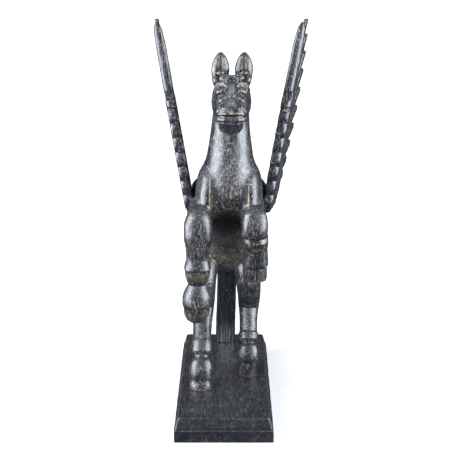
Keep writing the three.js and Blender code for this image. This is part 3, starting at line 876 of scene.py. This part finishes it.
def wood(name, along, film=0.75, bare=0.0, limed=1.0, seams=False):
    """Ebonised wood with limed pores.

    The grain runs along axis number `along`; film is how milky the wax is, bare how much of it is gone and
    limed how much chalk is in the pores.
    """
    material = bpy.data.materials.new(name)
    material.use_nodes = True
    n = Nodes(material)
    place = n.add("ShaderNodeTexCoord").outputs["Object"]

    def grain(share):
        return n.stretch(place, [share if axis == along else 1.0 for axis in range(3)])

    def stored(label):
        return n.add("ShaderNodeAttribute", attribute_name=label).outputs["Fac"]

    edge, form, raw, painted_shade, chalked = (stored(label) for label in ("edge", "form", "raw", "painted_shade", "chalk"))
    lines = n.noise(grain(0.09), 340, 2, 0.6, 0.25)
    pores = n.noise(grain(0.07), 640, 2, 0.6)
    streaks = n.noise(grain(0.16), 110, 4, 0.65, 0.4)
    patches = n.noise(place, 17, 4, 0.6)
    mottle = n.noise(place, 70, 4, 0.7, 1.2)
    flecks = n.noise(grain(0.4), 300, 3, 0.7, 0.4)
    crossed = n.stretch(place, [1.0 if axis == along else 0.16 for axis in range(3)])
    ticks = n.noise(crossed, 330, 2, 0.5)

    colour = n.mix(n.ramp(streaks, 0.4, 0.68), WAX_AND_SHADE, WAX_PALE)
    milky = n.math("MULTIPLY", n.ramp(lines, 0.47, 0.63), n.ramp(patches, 0.32, 0.6, (0.35 * film, film)))
    colour = n.mix(milky, colour, FILM)
    thin = n.math("ADD", n.ramp(patches, 0.46, 0.7, (0.0, 0.5)), bare)
    colour = n.mix(n.math("MULTIPLY", thin, n.ramp(mottle, 0.38, 0.6)), colour, BROWN)
    colour = n.mix(n.ramp(pores, 0.52, 0.38, (0.0, 0.75)), colour, WAX_AND_SHADE)
    spread = n.math("MAXIMUM", n.ramp(mottle, 0.52, 0.66, (0.02, 0.55)), n.math("MULTIPLY", chalked, n.ramp(mottle, 0.4, 0.56)))
    chalk = n.math("MULTIPLY", n.ramp(flecks, 0.5, 0.62), spread)
    dashes = n.math("MULTIPLY", n.ramp(lines, 0.6, 0.7), n.ramp(mottle, 0.42, 0.6, (0.12, 0.8)))
    across = n.math("MULTIPLY", n.ramp(ticks, 0.6, 0.68), n.ramp(streaks, 0.5, 0.62, (0.0, 0.6)))
    chalk = n.math("MULTIPLY", n.math("MAXIMUM", n.math("MAXIMUM", chalk, dashes), across), limed)
    tint = n.math("MULTIPLY", n.ramp(raw, 0.1, 0.8), n.ramp(streaks, 0.3, 0.6, (0.35, 1.0)))
    colour = n.mix(tint, colour, n.mix(n.ramp(flecks, 0.45, 0.62, (0.0, 0.6)), BROWN, TAN))
    colour = n.mix(n.math("MINIMUM", chalk, 0.85), colour, LIME)
    worn = n.math("MULTIPLY", n.ramp(edge, 0.2, 0.4), n.ramp(n.noise(place, 85, 3, 0.65), 0.36, 0.58, (0.1, 0.9)))
    colour = n.mix(worn, colour, n.mix(n.ramp(mottle, 0.4, 0.6), TAN, LIME))
    if seams:
        at = n.add("ShaderNodeSeparateXYZ", {"Vector": place}).outputs
        straight = n.math("SUBTRACT", at["X"], n.math("MULTIPLY", at["Z"], LEAN))
        off = n.math("ABSOLUTE", n.math("SUBTRACT", n.math("ABSOLUTE", n.math("ADD", straight, 0.0015)), SEAM / 1000))
        line = n.math("MULTIPLY", n.ramp(off, 0.0021, 0.0008), n.ramp(at["Y"], -0.178, -0.172))
        line = n.math("MULTIPLY", line, n.ramp(at["Z"], 0.455, 0.47))
        line = n.math("MULTIPLY", line, n.ramp(mottle, 0.38, 0.52, (0.0, 0.95)))
        colour = n.mix(line, colour, n.mix(n.ramp(flecks, 0.4, 0.6), TAN, LIME))
    # Painted shade: hollows, where form is below zero, darken towards near black.
    colour = n.mix(n.ramp(form, -0.08, -0.4, (0.0, 0.85)), colour, WAX_AND_SHADE)
    # Painted shade: the painted_shade spots under the chest and over the belly, the tail and the hind hoof domes turn
    # the colour near black.
    colour = n.mix(n.math("MULTIPLY", painted_shade, n.ramp(flecks, 0.68, 0.5, (0.7, 0.96))), colour, WAX_AND_SHADE)

    gloss = n.ramp(n.noise(grain(0.2), 45, 3, 0.6), 0.3, 0.7, (0.2, 0.28))
    gloss = n.math("ADD", gloss, n.ramp(lines, 0.52, 0.36, (0.0, 0.2)))
    gloss = n.math("ADD", gloss, n.math("MULTIPLY", n.math("MAXIMUM", chalk, tint), 0.3))
    gloss = n.math("SUBTRACT", gloss, n.math("MULTIPLY", painted_shade, 0.1))
    height = n.math("ADD", n.math("MULTIPLY", lines, 0.9), n.math("MULTIPLY", n.ramp(pores, 0.35, 0.6), 0.25))
    height = n.math("ADD", height, n.math("MULTIPLY", mottle, 0.25))
    height = n.math("ADD", height, n.math("MULTIPLY", flecks, 0.1))
    bump = n.add("ShaderNodeBump", {"Height": height, "Strength": 0.38, "Distance": 0.0014}).outputs[0]
    shader = n.add("ShaderNodeBsdfPrincipled", {
        "Base Color": colour, "Roughness": gloss, "Normal": bump, "IOR": 1.5, "Coat Weight": 0.25,
        "Coat Roughness": 0.14, "Coat Normal": bump,
    })
    n.add("ShaderNodeOutputMaterial", {"Surface": shader.outputs[0]})
    return material


# The pieces
def clamped(obj, inset=0.0002):
    """Keeps the mesh inside the CAD model's box."""
    place = np.empty(len(obj.data.vertices) * 3, np.float32)
    obj.data.vertices.foreach_get("co", place)
    place = place.reshape(-1, 3)
    low, high = (np.array(corner, np.float32) for corner in cad_box)
    np.clip(place, low + inset, high - inset, out=place)
    obj.data.vertices.foreach_set("co", place.ravel())
    obj.data.update()


def finish_piece(obj, material, node, marks):
    for label in ("raw", "painted_shade", "chalk"):
        paint(obj, label, marks.get(label, ()))
    clamped(obj)
    obj.data.materials.append(material)
    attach(obj, "root")
    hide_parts(node)


def flat(x, y, z):
    return x, y, z


plain_wood = wood("Horse wood", 2)
body_wood = wood("Body wood", 2, bare=0.2, seams=True)
wing_wood = wood("Wing wood", 2)
plinth_wood = wood("Plinth wood", 1, film=0.35, bare=0.15, limed=0.45)

BODY_MARKS = {
    "raw": [
        ((RIGHT_X, -250, 404), (60, 60, 10), 0.75), ((RIGHT_X, -250, 304), (60, 60, 12), 0.8),
        ((67, -201, 380), (60, 60, 7), 0.7), ((-60, -99, 60), (60, 60, 4), 0.8), ((62, -7, 60), (60, 60, 4), 0.8),
        ((0, -20, 405), (70, 90, 60), 0.5), ((65, -250, 468), (12, 12, 5), 1.0),
    ],
    # painted shade: under the chest and over the tail, the belly and the hind hoof domes
    "painted_shade": [
        ((0, -70, 486), (46, 90, 26), 1.0), ((TAIL_X, 235, 220), (50, 60, 240), 1.0), ((0, -20, 440), (60, 100, 40), 0.6),
        ((-60, -87, 129), (60, 60, 5), 0.8), ((62, 3, 136), (60, 60, 5), 0.8),
    ],
    "chalk": [
        ((0, -150, 578), (26, 40, 26), 0.9), ((0, -140, 530), (38, 60, 14), 1.0), ((0, -40, 400), (60, 90, 60), 0.7),
        ((RIGHT_X, -286, 500), (10, 12, 50), 0.6), ((LEFT_X, -290, 535), (10, 12, 20), 0.6),
    ],
}
HEAD_MARKS = {
    "raw": [((s * 28, -122, 876), (9, 12, 30), 0.6) for s in (-1, 1)],
    "chalk": [((0, -148, 630), (14, 40, 60), 0.7), ((0, -120, 700), (12, 40, 50), 0.4)],
}

body = mesh_object("body", body_field(), 190000, lean)
finish_piece(body, body_wood, "horse", BODY_MARKS)
head = mesh_object("neck_and_head", head_field(), 190000, lean)
finish_piece(head, plain_wood, "horse", HEAD_MARKS)
wing_shape = wing_field()
for wing_name, wing_spec in WING_SIDES.items():
    carving = mesh_object(wing_name + "_carving", wing_shape, 120000, wing_place(wing_spec))
    if wing_spec["side"] < 0:
        carving.data.flip_normals()
    finish_piece(carving, wing_wood, wing_name, {})
base = mesh_object("plinth_carving", plinth_field(), 60000, flat)
finish_piece(base, plinth_wood, "plinth", {})


# Floor, lights and camera
def floor():
    mesh = bpy.data.meshes.new("floor")
    size = 40
    mesh.from_pydata([(-size, -size, 0), (size, -size, 0), (size, size, 0), (-size, size, 0)], [], [(0, 1, 2, 3)])
    obj = bpy.data.objects.new("floor", mesh)
    obj.location.z = -0.0003
    bpy.context.scene.collection.objects.link(obj)
    material = bpy.data.materials.new("Floor")
    material.use_nodes = True
    n = Nodes(material)
    place = n.add("ShaderNodeTexCoord").outputs["Object"]
    far = n.add("ShaderNodeVectorMath", {0: place}, operation="LENGTH").outputs["Value"]
    glow = n.ramp(far, 0.5, 1.8, (0.1, 1.0))
    shader = n.add("ShaderNodeBsdfPrincipled", {
        "Base Color": (0.5, 0.5, 0.5, 1), "Roughness": 0.9, "Specular IOR Level": 0.1,
        "Emission Color": (1, 1, 1, 1), "Emission Strength": glow,
    })
    n.add("ShaderNodeOutputMaterial", {"Surface": shader.outputs[0]})
    mesh.materials.append(material)
    obj.visible_glossy = False
    obj.visible_diffuse = False


def softbox(name, at, aim, width, height, power, colour=(1, 1, 1)):
    light = bpy.data.lights.new(name, "AREA")
    light.shape = "RECTANGLE"
    light.size, light.size_y = width, height
    light.energy = power
    light.color = colour
    obj = bpy.data.objects.new(name, light)
    obj.location = at
    obj.rotation_euler = (Vector(aim) - Vector(at)).to_track_quat("-Z", "Y").to_euler()
    bpy.context.scene.collection.objects.link(obj)


def world():
    made = bpy.data.worlds.new("Studio")
    bpy.context.scene.world = made
    made.use_nodes = True
    made.node_tree.nodes["Background"].inputs[0].default_value = (1, 1, 1, 1)
    made.node_tree.nodes["Background"].inputs[1].default_value = 0.1


def camera():
    data = bpy.data.cameras.new("Camera")
    data.sensor_width = 36
    data.lens = 1100 / 460 * 36
    obj = bpy.data.objects.new("Camera", data)
    obj.location = (0.015, -2.735, 1.163)
    obj.rotation_euler = (math.radians(90 - 14.62), 0, 0)
    bpy.context.scene.collection.objects.link(obj)
    bpy.context.scene.camera = obj


floor()
softbox("Left softbox", (-1.45, -0.75, 1.05), (0, -0.1, 0.75), 1.9, 2.1, 170, (0.88, 0.94, 1))
softbox("Right softbox", (1.45, -0.8, 1.05), (0, -0.1, 0.75), 1.8, 2.1, 155, (0.88, 0.94, 1))
softbox("Top softbox", (-0.2, 0.3, 2.9), (0, -0.1, 0.6), 1.6, 1.2, 22)
sun = bpy.data.lights.new("Low light", "SUN")
sun.energy = 4.0
sun.angle = 0.3
low_light = bpy.data.objects.new("Low light", sun)
low_light.rotation_euler = Vector((1, 0.55, -0.42)).to_track_quat("-Z", "Y").to_euler()
low_light.visible_glossy = False
bpy.context.scene.collection.objects.link(low_light)
world()
camera()
bpy.context.scene.view_settings.view_transform = "Standard"
